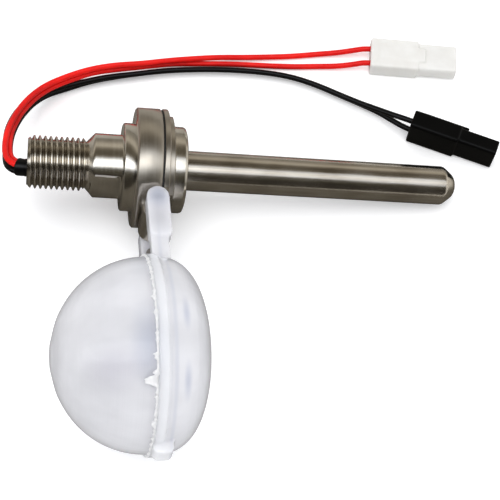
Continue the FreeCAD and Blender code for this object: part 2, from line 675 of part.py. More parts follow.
def build():
    """Make every piece, lay the switch down, centre it on the table and write one STEP file per piece."""
    rest = rest_placement()
    rigid = [make_threaded_body(), make_seal_ring(), make_probe_hub(), make_probe_tube(), make_exit_sleeve(),
             make_hinge_pin()]
    rigid += make_sealed_core()
    floating = [make_float_dome(), make_float_cap(), make_magnet("upper_magnet", 1), make_magnet("lower_magnet", -1)]
    doc.recompute()
    shapes = []
    for piece in rigid:
        place(piece, rest)
        shapes.append(piece.Shape)
    swung = rest.multiply(swing_placement())
    for piece in floating:
        place(piece, swung)
        shapes.append(piece.Shape)
    bounds = Part.makeCompound(shapes).optimalBoundingBox()
    shift = Vector(-bounds.Center.x, -bounds.Center.y, -bounds.ZMin)
    print("origin shift %.3f %.3f %.3f" % (shift.x, shift.y, shift.z))
    slide = FreeCAD.Placement(shift, FreeCAD.Rotation())
    for piece in rigid + floating:
        piece.Placement = slide.multiply(piece.Placement)
    plugs = {
        "white": slide.multiply(plug_placement(Vector(64.0, 41.0, size("plug_t").number / 2), -5.6, False)),
        "black": slide.multiply(plug_placement(Vector(73.1, 18.1, size("plug_w").number / 2), -22.3, True)),
    }
    cords = []
    for colour, placement in plugs.items():
        for piece in (make_connector(colour + "_connector"), make_terminals(colour + "_terminals")):
            place(piece, placement)
            cords.append(piece)
    cords += make_leads(slide.multiply(rest), slide, plugs)
    doc.recompute()
    report_axis(slide.multiply(rest))
    write_parts(rigid + floating + cords)


def place(piece, placement):
    """Move a finished piece, on top of whatever placement its own construction gave it."""
    piece.setExpression("Placement.Base.x", None)
    piece.setExpression("Placement.Base.y", None)
    piece.setExpression("Placement.Base.z", None)
    piece.Placement = placement.multiply(piece.Placement)


def make_leads(rest, slide, plugs):
    """Run each lead from the face of the exit sleeve to the floor of its hole in a connector."""
    leads = []
    face = thread_end - "sleeve_out"
    spacing = size("wire_ring").number
    heading = rest.Rotation.multVec(Vector(-1, 0, 0))
    level = Vector(0, 1, 0)
    upward = level.cross(heading)
    centre = rest.multVec(Vector(face.number, -size("sleeve_side").number, -size("sleeve_drop").number))
    for name, (around, first_run, colour, hole, middle) in ROUTES.items():
        turn = math.radians(around)
        start = centre + level * (math.cos(turn) * spacing) + upward * (math.sin(turn) * spacing)
        end = plugs[colour].multVec(Vector(size("hole_depth").number, size("wire_pitch").number / 2 * hole, 0))
        route = [start, start + heading * first_run]
        route += [slide.multVec(Vector(*point)) for point in middle]
        route.append(end)
        leads.append(make_lead(name, route))
        print("   route mm " + " ".join("(%.2f, %.2f, %.2f)" % (p.x, p.y, p.z) for p in route))
    return leads


def report_axis(rest):
    """Print where the axis, the hinge pin and the mounts lie in the finished frame."""
    for label, point in (("flange face", Vector(0, 0, 0)), ("thread end", Vector(thread_end.number, 0, 0)),
                         ("thread start", Vector(cone_start.number, 0, 0)),
                         ("tube start", Vector(hub_end.number, 0, 0)), ("tube end", Vector(size("tube_reach").number, 0, 0)),
                         ("hinge", Vector(pin_x.number, pin_y.number, 0))):
        at = rest.multVec(point)
        print("%s at (%.4f, %.4f, %.4f)" % (label, at.x, at.y, at.z))
    for label, axis in (("axis", Vector(1, 0, 0)), ("pin", Vector(0, 0, 1)), ("hang", Vector(0, -1, 0))):
        along = rest.Rotation.multVec(axis)
        print("%s along (%.6f, %.6f, %.6f)" % (label, along.x, along.y, along.z))


def write_parts(pieces):
    """Check each piece and write it to its own STEP file."""
    os.makedirs("parts", exist_ok=True)
    for thing in doc.Objects:
        if "Invalid" in thing.State or "Error" in thing.State:
            raise RuntimeError("%s is %s" % (thing.Name, thing.State))
    for piece in pieces:
        shape = piece.Shape
        if shape.isNull() or not shape.isValid():
            raise RuntimeError(piece.Label + " has no valid shape")
        print("%-18s solids %d volume %9.2f" % (piece.Label, len(shape.Solids), shape.Volume))
        shape.exportStep("parts/%s.step" % piece.Label)


build()
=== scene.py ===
"""Float level switch: stainless body and probe tube, hinged polypropylene float, two pairs of leads."""
import bpy
import bmesh
import json
import math
import numpy as np
from mathutils import Matrix, Vector


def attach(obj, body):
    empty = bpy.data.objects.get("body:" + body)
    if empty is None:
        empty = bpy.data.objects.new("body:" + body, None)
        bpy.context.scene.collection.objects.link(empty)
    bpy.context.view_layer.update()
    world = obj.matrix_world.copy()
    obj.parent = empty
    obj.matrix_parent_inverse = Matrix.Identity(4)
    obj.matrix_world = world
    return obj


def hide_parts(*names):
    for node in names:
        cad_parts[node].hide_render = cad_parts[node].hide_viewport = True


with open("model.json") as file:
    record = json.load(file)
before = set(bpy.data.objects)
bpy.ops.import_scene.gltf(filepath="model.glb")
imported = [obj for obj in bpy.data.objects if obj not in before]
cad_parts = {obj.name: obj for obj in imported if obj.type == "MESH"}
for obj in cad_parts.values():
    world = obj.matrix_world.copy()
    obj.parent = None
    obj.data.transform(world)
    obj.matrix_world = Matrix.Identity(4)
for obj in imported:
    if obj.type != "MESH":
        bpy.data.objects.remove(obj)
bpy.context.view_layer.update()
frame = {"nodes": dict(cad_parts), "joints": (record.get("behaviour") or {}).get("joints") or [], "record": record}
NODES = frame["nodes"]
MM = 0.001

# ---------------------------------------------------------------- the switch's own axes

THREAD_MOUNT = frame["record"]["mounts"][0]
HINGE = frame["joints"][0]
THREAD_MIDDLE = -18.8 * MM          # the thread mount's station along the axis
AXIS = -Vector(THREAD_MOUNT["axis"]).normalized()
PIN_AXIS = Vector(HINGE["axis"]).normalized()
LEVEL = PIN_AXIS.cross(AXIS).normalized()
FLANGE = Vector(THREAD_MOUNT["pos_m"]) - AXIS * THREAD_MIDDLE
REST_TURN = Matrix((AXIS, LEVEL, PIN_AXIS)).transposed()
REST = Matrix.Translation(FLANGE) @ REST_TURN.to_4x4()
HINGE_POINT = Vector(HINGE["pos_m"])
FLOAT_SWING = math.radians(3.2)     # how far the lying float hangs back from square to the axis
FLOAT_REST = (Matrix.Translation(HINGE_POINT) @ Matrix.Rotation(FLOAT_SWING, 4, PIN_AXIS)
              @ Matrix.Translation(-HINGE_POINT) @ REST)


def placed(points, matrix):
    """Points given in millimetres in the switch's own axes, as metres in the row's frame."""
    turn = np.array(matrix.to_3x3())
    return points.reshape(-1, 3) * MM @ turn.T + np.array(matrix.translation)


# ---------------------------------------------------------------- meshes from grids of points

def grid_faces(rows, columns, closed_rows=False, closed_columns=False):
    """Quads between neighbours of a rows x columns grid, joined round where closed."""
    i = np.arange(rows if closed_rows else rows - 1)
    j = np.arange(columns if closed_columns else columns - 1)
    i, j = np.meshgrid(i, j, indexing="ij")
    down, right = (i + 1) % rows, (j + 1) % columns
    corners = [i * columns + j, i * columns + right, down * columns + right, down * columns + j]
    return np.stack(corners, axis=-1).reshape(-1, 4)


def mesh_object(name, points, faces, material):
    """A smooth mesh object from points in metres and a list of faces."""
    mesh = bpy.data.meshes.new(name)
    mesh.from_pydata(np.asarray(points).tolist(), [], [list(map(int, face)) for face in faces])
    mesh.validate()
    mesh.polygons.foreach_set("use_smooth", np.ones(len(mesh.polygons), bool))
    mesh.materials.append(material)
    thing = bpy.data.objects.new(name, mesh)
    bpy.context.scene.collection.objects.link(thing)
    return thing


def make_piece(name, points, faces, material, body):
    """A mesh object that rides on a body."""
    piece = mesh_object(name, points, faces, material)
    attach(piece, body)
    return piece


def smooth_by_angle(mesh, degrees):
    """Smooth shading everywhere but across edges sharper than an angle."""
    mesh.polygons.foreach_set("use_smooth", np.ones(len(mesh.polygons), bool))
    mesh.set_sharp_from_angle(angle=math.radians(degrees))


def point_outwards(mesh):
    """Turn every face of a closed mesh outwards."""
    work = bmesh.new()
    work.from_mesh(mesh)
    bmesh.ops.recalc_face_normals(work, faces=work.faces)
    work.to_mesh(mesh)
    work.free()


# ---------------------------------------------------------------- materials

def linear(hex_colour):
    """An sRGB hex value as linear RGBA."""
    values = [int(hex_colour[i:i + 2], 16) / 255 for i in (0, 2, 4)]
    return [v / 12.92 if v <= 0.04045 else ((v + 0.055) / 1.055) ** 2.4 for v in values] + [1.0]


def add(tree, kind, links=(), stops=(), **settings):
    """One node: settings go to its properties or to sockets by name, links join (output, input) pairs.

    Stops are a colour ramp's, each a place and a hex colour.
    """
    node = tree.nodes.new("ShaderNode" + kind)
    for key, value in settings.items():
        if hasattr(node, key):
            setattr(node, key, value)
        else:
            node.inputs[key.replace("_", " ")].default_value = value
    for source, target in links:
        tree.links.new(source, node.inputs[target])
    for number, (place, hex_colour) in enumerate(stops):
        elements = node.color_ramp.elements
        element = elements[number] if number < len(elements) else elements.new(1.0)
        element.position = place
        element.color = linear(hex_colour)
    return node


def new_material(name, **surface):
    """A material with one Principled shader whose plain values are set on its own sockets."""
    material = bpy.data.materials.new(name)
    material.use_nodes = True
    tree = material.node_tree
    shader = tree.nodes["Principled BSDF"]
    for key, value in surface.items():
        shader.inputs[key.replace("_", " ")].default_value = value
    return material, tree, shader


def axes_of(tree, rest):
    """Object coordinates in metres, turned into a body's own axes: X along its axis, Z along the pin."""
    where = add(tree, "TexCoord").outputs["Object"]
    own = add(tree, "Mapping", [(where, "Vector")], vector_type="TEXTURE",
              Location=rest.translation, Rotation=rest.to_euler())
    return own.outputs["Vector"]


def unevenness(tree, own, per_metre, detail):
    """How a finish wanders over a body: a factor whose patches are 1 / per_metre metres on its three axes."""
    patches = add(tree, "Mapping", [(own, "Vector")], Scale=per_metre).outputs["Vector"]
    return add(tree, "TexNoise", [(patches, "Vector")], Scale=1.0, Detail=detail).outputs["Fac"]


LEAST, MOST = 0.35, 0.65            # between these lies nearly all of an unevenness's factor
QUARTER_TURN = 0.25                 # lays the smeared reflection across the tool marks, not along them
FLANGE_BAND = (12.5 * MM, 13.0 * MM)    # radii between which the turning goes from fine to coarse


def turned_stainless(name, edge, smear, root=None):
    """Turned 304 stainless bar: tool marks 0.3 mm apart run round the axis, coarser and duller on the flange.

    Its edges are polished round to a radius in metres. Below a root radius in millimetres, painted shade darkens
    it.
    """
    material, tree, shader = new_material(name, Metallic=1.0, Anisotropic=smear,
                                          Anisotropic_Rotation=QUARTER_TURN)
    own = axes_of(tree, REST)
    lines = unevenness(tree, own, (3200, 25, 25), 2.0)
    bands = unevenness(tree, own, (900, 10, 10), 2.0)
    patches = unevenness(tree, own, (180, 180, 180), 4.0)
    marks = add(tree, "Mix", [(lines, "A"), (bands, "B")], Factor=0.5).outputs["Result"]
    cloudy = add(tree, "Mix", [(marks, "A"), (patches, "B")], Factor=0.6).outputs["Result"]
    colour = add(tree, "ValToRGB", [(cloudy, "Fac")],
                 [(LEAST, "c6bfb3"), (0.5, "d8d2c7"), (MOST, "e6e1d8")]).outputs["Color"]
    square = add(tree, "Mapping", [(own, "Vector")], Scale=(0, 1, 1)).outputs["Vector"]
    radius = add(tree, "VectorMath", [(square, 0)], operation="LENGTH").outputs["Value"]
    # painted shade in the thread's roots: below the root radius the colour goes over to a darker tone
    if root:
        above_root_shade = add(tree, "MapRange", [(radius, "Value")], From_Min=root * MM, From_Max=(root + 0.5) * MM)
        colour = add(tree, "Mix", [(above_root_shade.outputs["Result"], "Factor"), (colour, "B")], data_type="RGBA",
                     A=linear("a39c90")).outputs["Result"]
    fine, coarse = FLANGE_BAND
    grey = add(tree, "MapRange", [(radius, "Value")], From_Min=fine, From_Max=coarse, To_Max=0.5)
    worn = add(tree, "Mix", [(grey.outputs["Result"], "Factor"), (colour, "A")], data_type="RGBA",
               B=linear("a49c90"))
    tree.links.new(worn.outputs["Result"], shader.inputs["Base Color"])
    rough = add(tree, "MapRange", [(marks, "Value")], From_Min=LEAST, From_Max=MOST,
                To_Min=0.13, To_Max=0.22)
    rougher = add(tree, "MapRange", [(radius, "Value")], From_Min=fine, From_Max=coarse, To_Max=0.16)
    dull = add(tree, "Math", [(rough.outputs["Result"], 0), (rougher.outputs["Result"], 1)], operation="ADD")
    tree.links.new(dull.outputs["Value"], shader.inputs["Roughness"])
    around = add(tree, "Tangent", direction_type="RADIAL", axis="X")
    tree.links.new(around.outputs["Tangent"], shader.inputs["Tangent"])
    edges = add(tree, "Bevel", Radius=edge)
    relief = add(tree, "Bump", [(marks, "Height"), (edges.outputs["Normal"], "Normal")],
                 Distance=0.00001, Strength=0.12)
    tree.links.new(relief.outputs["Normal"], shader.inputs["Normal"])
    return material


def drawn_stainless():
    """Drawn and polished 304 tube: smooth, with faint streaks 0.5 mm wide along it and soft cloudy spots."""
    material, tree, shader = new_material("drawn_stainless", Metallic=1.0)
    own = axes_of(tree, REST)
    streaks = unevenness(tree, own, (60, 1800, 1800), 3.0)
    clouds = unevenness(tree, own, (110, 220, 220), 4.0)
    mixed = add(tree, "Mix", [(streaks, "A"), (clouds, "B")], Factor=0.6).outputs["Result"]
    colour = add(tree, "ValToRGB", [(mixed, "Fac")],
                 [(LEAST, "b8b0a4"), (0.5, "cdc6ba"), (MOST, "dad4ca")])
    tree.links.new(colour.outputs["Color"], shader.inputs["Base Color"])
    rough = add(tree, "MapRange", [(mixed, "Value")], From_Min=LEAST, From_Max=MOST,
                To_Min=0.14, To_Max=0.24)
    tree.links.new(rough.outputs["Result"], shader.inputs["Roughness"])
    grain = unevenness(tree, own, (900, 1600, 1600), 3.0)
    both = add(tree, "Mix", [(streaks, "A"), (grain, "B")], Factor=0.6)
    relief = add(tree, "Bump", [(both.outputs["Result"], "Height")], Distance=0.00003, Strength=0.35)
    tree.links.new(relief.outputs["Normal"], shader.inputs["Normal"])
    return material


def painted_light_spot(tree, own, centre, reach):
    """A factor falling from 1 at a place on the float to 0 at its reach along each axis, in millimetres."""
    near = add(tree, "Mapping", [(own, "Vector")], vector_type="TEXTURE", Location=[v * MM for v in centre],
               Scale=[v * MM for v in reach])
    ball = add(tree, "TexGradient", [(near.outputs["Vector"], "Vector")], gradient_type="SPHERICAL")
    soft = add(tree, "MapRange", [(ball.outputs["Fac"], "Value")], interpolation_type="SMOOTHSTEP")
    return soft.outputs["Result"]


FLOAT_GLOW_AND_SHADE = [                     # painted glow where the wall is thin, painted shade where it is thick or hides a hollow: place and reach in mm on the float's axes, depth and tone
    ((-1.6, -60.5, 20.5), (5.5, 12.5, 10.0), 0.6, "a6abba"),
    ((-1.6, -38.5, 16.5), (4.5, 9.5, 10.0), 0.2, "a9b0c0"),
    ((-9.0, -64.0, 17.0), (11.0, 7.0, 9.0), 0.3, "a9a6b4"),
    ((-14.0, -52.4, 0.0), (9.0, 16.0, 24.0), 0.4, "eeecec"),
    ((6.8, -53.5, 20.5), (1.3, 5.0, 8.0), 0.5, "a0a6ba"),
    ((6.8, -67.0, 16.0), (1.3, 5.0, 8.0), 0.5, "a0a6ba"),
    ((1.5, -52.4, 0.0), (2.6, 60.0, 60.0), 0.7, "e9ebee"),
    ((4.2, -52.4, 0.0), (0.8, 60.0, 60.0), 0.5, "b9bdc9"),
    ((4.8, -17.0, 8.0), (20.0, 17.0, 14.0), 1.0, "c3c3c9"),
    ((4.8, -15.0, 11.5), (5.0, 5.0, 4.0), 0.8, "a4aabb")]


def polypropylene():
    """Natural polypropylene, moulded: milky, with painted glow where it is thin and painted dull blue shade where
    it hides a hollow.

    A zone of FLOAT_GLOW_AND_SHADE off the float's middle plane has a twin on the other side of it.
    """
    material, tree, shader = new_material(
        "natural_polypropylene", Roughness=0.2, IOR=1.49, Specular_IOR_Level=0.5,
        Coat_Weight=0.1, Coat_Roughness=0.12, Subsurface_Weight=1.0,
        Subsurface_Scale=0.009, Subsurface_Radius=(1.0, 1.0, 1.0))
    own = axes_of(tree, FLOAT_REST)
    cloud = unevenness(tree, own, (40, 90, 90), 3.0)
    colour = add(tree, "ValToRGB", [(cloud, "Fac")],
                 [(LEAST, "cdcdd0"), (MOST, "d8d8db")]).outputs["Color"]
    glow_and_shade_zones = [((x, y, side * z), reach, depth, tone) for (x, y, z), reach, depth, tone in FLOAT_GLOW_AND_SHADE
             for side in ((1, -1) if z else (1,))]
    # the zones lay painted glow and painted shade over the cloudy tone
    for centre, reach, depth, tone in glow_and_shade_zones:
        spot = painted_light_spot(tree, own, centre, reach)
        amount = add(tree, "MapRange", [(spot, "Value")], To_Max=depth)
        colour = add(tree, "Mix", [(amount.outputs["Result"], "Factor"), (colour, "A")], data_type="RGBA",
                     B=linear(tone)).outputs["Result"]
    tree.links.new(colour, shader.inputs["Base Color"])
    rings = unevenness(tree, own, (900, 8, 8), 2.0)
    skin = unevenness(tree, own, (60, 260, 260), 3.0)
    both = add(tree, "Mix", [(rings, "A"), (skin, "B")], Factor=0.6)
    relief = add(tree, "Bump", [(both.outputs["Result"], "Height")], Distance=0.0006, Strength=0.35)
    tree.links.new(relief.outputs["Normal"], shader.inputs["Normal"])
    return material


def mottled(name, scale, stops, relief, strength, fine=None, **surface):
    """A plastic whose tone wanders in patches of 1 / scale metres.

    Its relief, in metres, wanders with the tone, or in patches of 1 / fine metres where that is given.
    """
    material, tree, shader = new_material(name, **surface)
    where = add(tree, "TexCoord").outputs["Object"]
    detail = 4.0 if fine else 3.0
    cloud = add(tree, "TexNoise", [(where, "Vector")], Scale=scale, Detail=detail).outputs["Fac"]
    tone = add(tree, "ValToRGB", [(cloud, "Fac")], stops)
    tree.links.new(tone.outputs["Color"], shader.inputs["Base Color"])
    height = cloud
    if fine:
        height = add(tree, "TexNoise", [(where, "Vector")], Scale=fine, Detail=2.0).outputs["Fac"]
    bump = add(tree, "Bump", [(height, "Height")], Distance=relief, Strength=strength)
    tree.links.new(bump.outputs["Normal"], shader.inputs["Normal"])
    return material


def weld_flash():
    """Polypropylene squeezed out of the weld: stretched white, rough and opaque."""
    return mottled("weld_flash", 700.0, [(0.3, "dedee0"), (0.6, "f0f0f0")], 0.0002, 0.5,
                   Roughness=0.45, IOR=1.49, Subsurface_Weight=0.6, Subsurface_Scale=0.002,
                   Subsurface_Radius=(1.0, 1.0, 1.0))


def pvc(name, low, high):
    """Extruded PVC insulation: glossy, with a faint unevenness along the wire."""
    return mottled(name, 120.0, [(0.3, low), (0.7, high)], 0.0001, 0.3,
                   Roughness=0.28, IOR=1.53, Specular_IOR_Level=0.2)


def nylon(name, low, high, roughness, depth, shine):
    """Moulded nylon 66: satin, with a fine-grained skin 0.25 mm coarse."""
    return mottled(name, 200.0, [(0.3, low), (0.7, high)], 0.00002, 0.4, fine=4000.0,
                   Roughness=roughness, IOR=1.53, Subsurface_Weight=depth, Subsurface_Scale=0.002,
                   Subsurface_Radius=(1.0, 1.0, 1.0), Specular_IOR_Level=shine)


def plain(name, hex_colour, **surface):
    """A hidden or very small surface, with a faint mottling down to four fifths of its tone."""
    material, tree, shader = new_material(name, **surface)
    where = add(tree, "TexCoord").outputs["Object"]
    tone = add(tree, "TexNoise", [(where, "Vector")], Scale=300.0, Detail=3.0).outputs["Fac"]
    hue = linear(hex_colour)
    shade = [v * 0.8 for v in hue[:3]] + [1.0]
    mix = add(tree, "Mix", [(tone, "Factor")], data_type="RGBA", A=shade, B=hue)
    tree.links.new(mix.outputs["Result"], shader.inputs["Base Color"])
    return material


STEEL = turned_stainless("turned_stainless", 0.00025, 0.5)
THREAD_STEEL = turned_stainless("cut_thread_stainless", 0.00002, 0.0, 5.75)
TUBE_STEEL = drawn_stainless()
FLOAT_PLASTIC = polypropylene()
FLASH_PLASTIC = weld_flash()
RED_PVC = pvc("red_pvc_insulation", "d01210", "ee1e18")
BLACK_PVC = pvc("black_pvc_insulation", "050506", "0a0a0b")
WHITE_NYLON = nylon("natural_nylon", "dbd9d4", "e3e2de", 0.38, 0.4, 0.4)
BLACK_NYLON = nylon("black_nylon", "020202", "040404", 0.4, 0.0, 0.12)
GROUND_STEEL = plain("ground_stainless", "c9c5bf", Metallic=1.0, Roughness=0.2)
NITRILE = plain("black_nitrile_rubber", "121212", Roughness=0.6)
NICKEL = plain("nickel_plate", "b9b9bb", Metallic=1.0, Roughness=0.2)
RESIN = plain("black_epoxy_resin", "151515", Roughness=0.3)
BEAD = plain("epoxy_bead", "3b2416", Roughness=0.3)
REED_GLASS = plain("reed_glass", "c8dccf", Roughness=0.05, Transmission_Weight=0.9)
TIN = plain("tin_plate", "c8c8c4", Metallic=1.0, Roughness=0.3)

NODE_MATERIALS = {                  # of the pieces that are shown as they come
    "probe_hub": STEEL, "hinge_pin": GROUND_STEEL, "seal_ring": NITRILE, "exit_sleeve": BLACK_PVC,
    "reed_switch": REED_GLASS, "bore_resin": RESIN, "thermistor": BEAD, "tip_resin": RESIN,
    "inner_leads": BLACK_PVC, "upper_magnet": NICKEL, "lower_magnet": NICKEL,
    "white_terminals": TIN, "black_terminals": TIN,
}
for node, material in NODE_MATERIALS.items():
    mesh = NODES[node].data
    mesh.materials.clear()
    mesh.materials.append(material)

# ---------------------------------------------------------------- camera, room, floor and lights

def aim(thing, position, forward, right):
    """Place a camera or light at a point, looking along forward, with its own right-hand side given."""
    up = right.cross(forward)
    turn = Matrix((right, up, -forward)).transposed()
    thing.matrix_world = Matrix.Translation(position) @ turn.to_4x4()


def make_camera(azimuth, elevation, tilt, focal, position):
    """A 36 mm wide camera: angles in degrees, focal length and position in millimetres, rolled by tilt."""
    a, e, t = map(math.radians, (azimuth, elevation, tilt))
    forward = Vector((math.sin(a) * math.cos(e), math.cos(a) * math.cos(e), -math.sin(e)))
    right = forward.cross(Vector((0, 0, 1))).normalized()
    up = right.cross(forward)
    rolled = right * math.cos(t) + up * math.sin(t)
    data = bpy.data.cameras.new("camera")
    data.sensor_width = 36.0
    data.lens = focal
    camera = bpy.data.objects.new("camera", data)
    bpy.context.scene.collection.objects.link(camera)
    aim(camera, Vector(position) * MM, forward, rolled)
    bpy.context.scene.camera = camera


def soft_light(name, place, size, watts):
    """A square softbox that faces the switch's middle. Metal shows the room's softbox in its place."""
    data = bpy.data.lights.new(name, "AREA")
    data.size = size
    data.energy = watts
    light = bpy.data.objects.new(name, data)
    light.visible_glossy = False
    bpy.context.scene.collection.objects.link(light)
    centre = Vector((0, 0, 0.01))
    forward = (centre - Vector(place)).normalized()
    side = forward.cross(Vector((0, 1, 0.1))).normalized()
    aim(light, Vector(place), forward, side)


ROOM_GLOW = 0.82
SHEET_GLOW = 0.2                    # the floor's own light, which softens the shadows on it
SOFTBOX_GLOW = 1.25
CORE_GLOW = 1.5                     # added where the softbox is brightest
SOFTBOX_CORE = [(-29, "000000"), (-23, "ffffff"), (-5, "ffffff"), (2, "000000")]
ROOM_REFLECTED = [                  # degrees from straight up, towards +y, and the tone seen there in gloss
    (-180, "5a564e"), (-104, "5e5a52"), (-94, "37332c"), (-62, "2d2a25"), (-45, "454239"), (-34, "64625e"),
    (-27, "eef3fb"), (-14, "ffffff"), (1, "eef3fb"), (10, "6e685c"), (18, "514b40"), (31, "554f44"),
    (42, "6f685d"), (53, "aea89c"), (62, "aaa498"), (76, "837e76"), (92, "78746c"), (180, "78746c")]
ROOM_ENDS = {                       # which way, from where to where along it, and the factor at either place
    "core": ("X", 0.27, 0.19, 0.0, CORE_GLOW),      # the brightest part stops short of the right-hand end
    "box": ("X", -0.97, -0.9, 0.3, 1.0),            # the left-hand end is dim
    "wall": ("X", 0.72, 0.93, 0.0, 1.0),            # a pale wall stands far to the right
    "horizon": ("Z", 0.0, 0.12, 0.0, 1.0)}          # and ends at the horizon


def pale_room():
    """World light: one even tone for all but gloss, where the tone follows the angle round the x axis."""
    world = bpy.data.worlds.new("studio")
    bpy.context.scene.world = world
    world.use_nodes = True
    tree = world.node_tree
    tree.nodes.clear()
    ways = add(tree, "SeparateXYZ", [(add(tree, "TexCoord").outputs["Generated"], "Vector")]).outputs
    turn = add(tree, "Math", [(ways["Y"], 0), (ways["Z"], 1)], operation="ARCTAN2")
    place = add(tree, "MapRange", [(turn.outputs["Value"], "Value")], From_Min=-math.pi, From_Max=math.pi)
    walls, bright = (
        add(tree, "ValToRGB", [(place.outputs["Result"], "Fac")],
            [((degrees + 180) / 360, tone) for degrees, tone in stops]).outputs["Color"]
        for stops in (ROOM_REFLECTED, SOFTBOX_CORE))
    ends = {
        name: add(tree, "MapRange", [(ways[way], "Value")], From_Min=first, From_Max=last,
                  To_Min=low, To_Max=high).outputs["Result"]
        for name, (way, first, last, low, high) in ROOM_ENDS.items()}
    core = add(tree, "Math", [(bright, 0), (ends["core"], 1)], operation="MULTIPLY")
    whole = add(tree, "Math", [(core.outputs["Value"], 0)], operation="ADD")
    whole.inputs[1].default_value = SOFTBOX_GLOW
    glow = add(tree, "Math", [(whole.outputs["Value"], 0), (ends["box"], 1)], operation="MULTIPLY")
    lamp = add(tree, "Math", [(ends["wall"], 0), (ends["horizon"], 1)], operation="MULTIPLY")
    tones = add(tree, "Mix", [(lamp.outputs["Value"], "Factor"), (walls, "A")], data_type="RGBA",
                B=linear("e6e4df"))
    shown = add(tree, "Background", [(tones.outputs["Result"], "Color"), (glow.outputs["Value"], "Strength")])
    even = add(tree, "Background", Color=linear("f7f8fb"), Strength=ROOM_GLOW)
    gloss = add(tree, "LightPath").outputs["Is Glossy Ray"]
    both = add(tree, "MixShader", [(gloss, 0), (even.outputs[0], 1), (shown.outputs[0], 2)])
    add(tree, "OutputWorld", [(both.outputs[0], "Surface")])


FAR_SIDE = (0.03, 0.09)             # metres towards +y between which the paper's painted reflection in metal gets lighter
RIGHT_SIDE = (0.078, 0.1)           # and towards +x


def floor_paper():
    """Matt white paper on a faintly lit table. Polished metal shows a painted darker reflection of it, most of all
    near and left.
    """
    material, tree, shader = new_material("floor_paper", Roughness=0.95, Specular_IOR_Level=0.0,
                                          Emission_Color=linear("ffffff"))
    sides = add(tree, "SeparateXYZ", [(add(tree, "TexCoord").outputs["Object"], "Vector")])
    far = add(tree, "MapRange", [(sides.outputs["Y"], "Value")], From_Min=FAR_SIDE[0], From_Max=FAR_SIDE[1])
    # painted reflection: the darker tones that gloss rays find here in place of the white paper
    shown = add(tree, "ValToRGB", [(far.outputs["Result"], "Fac")], [(0.0, "605c54"), (1.0, "a5a199")])
    right = add(tree, "MapRange", [(sides.outputs["X"], "Value")], From_Min=RIGHT_SIDE[0],
                From_Max=RIGHT_SIDE[1])
    paler = add(tree, "Mix", [(right.outputs["Result"], "Factor"), (shown.outputs["Color"], "A")],
                data_type="RGBA", B=linear("d3cfc7"))
    path = add(tree, "LightPath").outputs
    paper = add(tree, "Mix", [(path["Is Glossy Ray"], "Factor"), (paler.outputs["Result"], "B")],
                data_type="RGBA", A=linear("ffffff"))
    tree.links.new(paper.outputs["Result"], shader.inputs["Base Color"])
    lit = add(tree, "MapRange", [(path["Is Camera Ray"], "Value")], To_Max=SHEET_GLOW)
    tree.links.new(lit.outputs["Result"], shader.inputs["Emission Strength"])
    return material


make_camera(azimuth=7.663, elevation=66.0, tilt=6.554, focal=93.6, position=(-16.848, -119.421, 305.389))
floor = mesh_object("floor", [(-3, -3, 0), (3, -3, 0), (3, 3, 0), (-3, 3, 0)], [(0, 1, 2, 3)], floor_paper())
pale_room()
soft_light("overhead_softbox", (-0.1, 0.1, 0.8), 0.7, 3.5)
soft_light("front_softbox", (0.25, -0.6, 0.45), 0.35, 1.0)
bpy.context.scene.view_settings.view_transform = "Standard"

# ---------------------------------------------------------------- probe tube

TUBE_SIDES = 128
CURVE_POINTS = 9
TUBE_CORNERS = [                    # each corner's station on the axis, radius and rounding, in mm
    (82.2, 0.0, 0.0), (82.2, 1.2, 0.0), (79.0, 4.0, 0.5), (2.6, 4.0, 0.0), (2.6, 5.0, 0.0),
    (80.3, 5.0, 0.7), (83.5, 2.5, 1.5), (83.75, 0.0, 0.0)]


def rounded_profile(corners):
    """A line through corners, each one cut back by its rounding and bridged by a quadratic curve."""
    places = np.array([corner[:2] for corner in corners])
    cuts = [corner[2] for corner in corners[1:-1]]
    line = [places[0]]
    for before, here, after, cut in zip(places[:-2], places[1:-1], places[2:], cuts):
        if cut == 0.0:
            line.append(here)
            continue
        t = np.linspace(0, 1, CURVE_POINTS)[:, None]
        start = here + (before - here) * cut / np.linalg.norm(before - here)
        end = here + (after - here) * cut / np.linalg.norm(after - here)
        line.extend((1 - t) ** 2 * start + 2 * t * (1 - t) * here + t ** 2 * end)
    return np.array(line + [places[-1]])


def revolved(profile, columns):
    """A profile that begins and ends on the axis, turned round it; its two ends are single points."""
    angle = np.linspace(0, 2 * np.pi, columns, endpoint=False)[None, :]
    a, radius = profile[1:-1, 0, None], profile[1:-1, 1, None]
    rings = np.stack([a + 0 * angle, radius * np.cos(angle), radius * np.sin(angle)], axis=-1)
    rings = rings.reshape(-1, 3)
    first, last = len(rings), len(rings) + 1
    points = np.vstack([rings, [profile[0, 0], 0, 0], [profile[-1, 0], 0, 0]])
    here = np.arange(columns)
    following = (here + 1) % columns
    end = (len(profile) - 3) * columns
    faces = grid_faces(len(profile) - 2, columns, closed_columns=True).tolist()
    faces += np.stack([0 * here + first, following, here], axis=-1).tolist()
    faces += np.stack([0 * here + last, end + here, end + following], axis=-1).tolist()
    return points, faces


def make_tube():
    """Polished tube with its closed nose: a cone between two rounded shoulders."""
    points, faces = revolved(rounded_profile(TUBE_CORNERS), TUBE_SIDES)
    tube = make_piece("polished_tube", placed(points, REST), faces, TUBE_STEEL, "sensor")
    point_outwards(tube.data)
    smooth_by_angle(tube.data, 35)
    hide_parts("probe_tube")


make_tube()

# ---------------------------------------------------------------- float

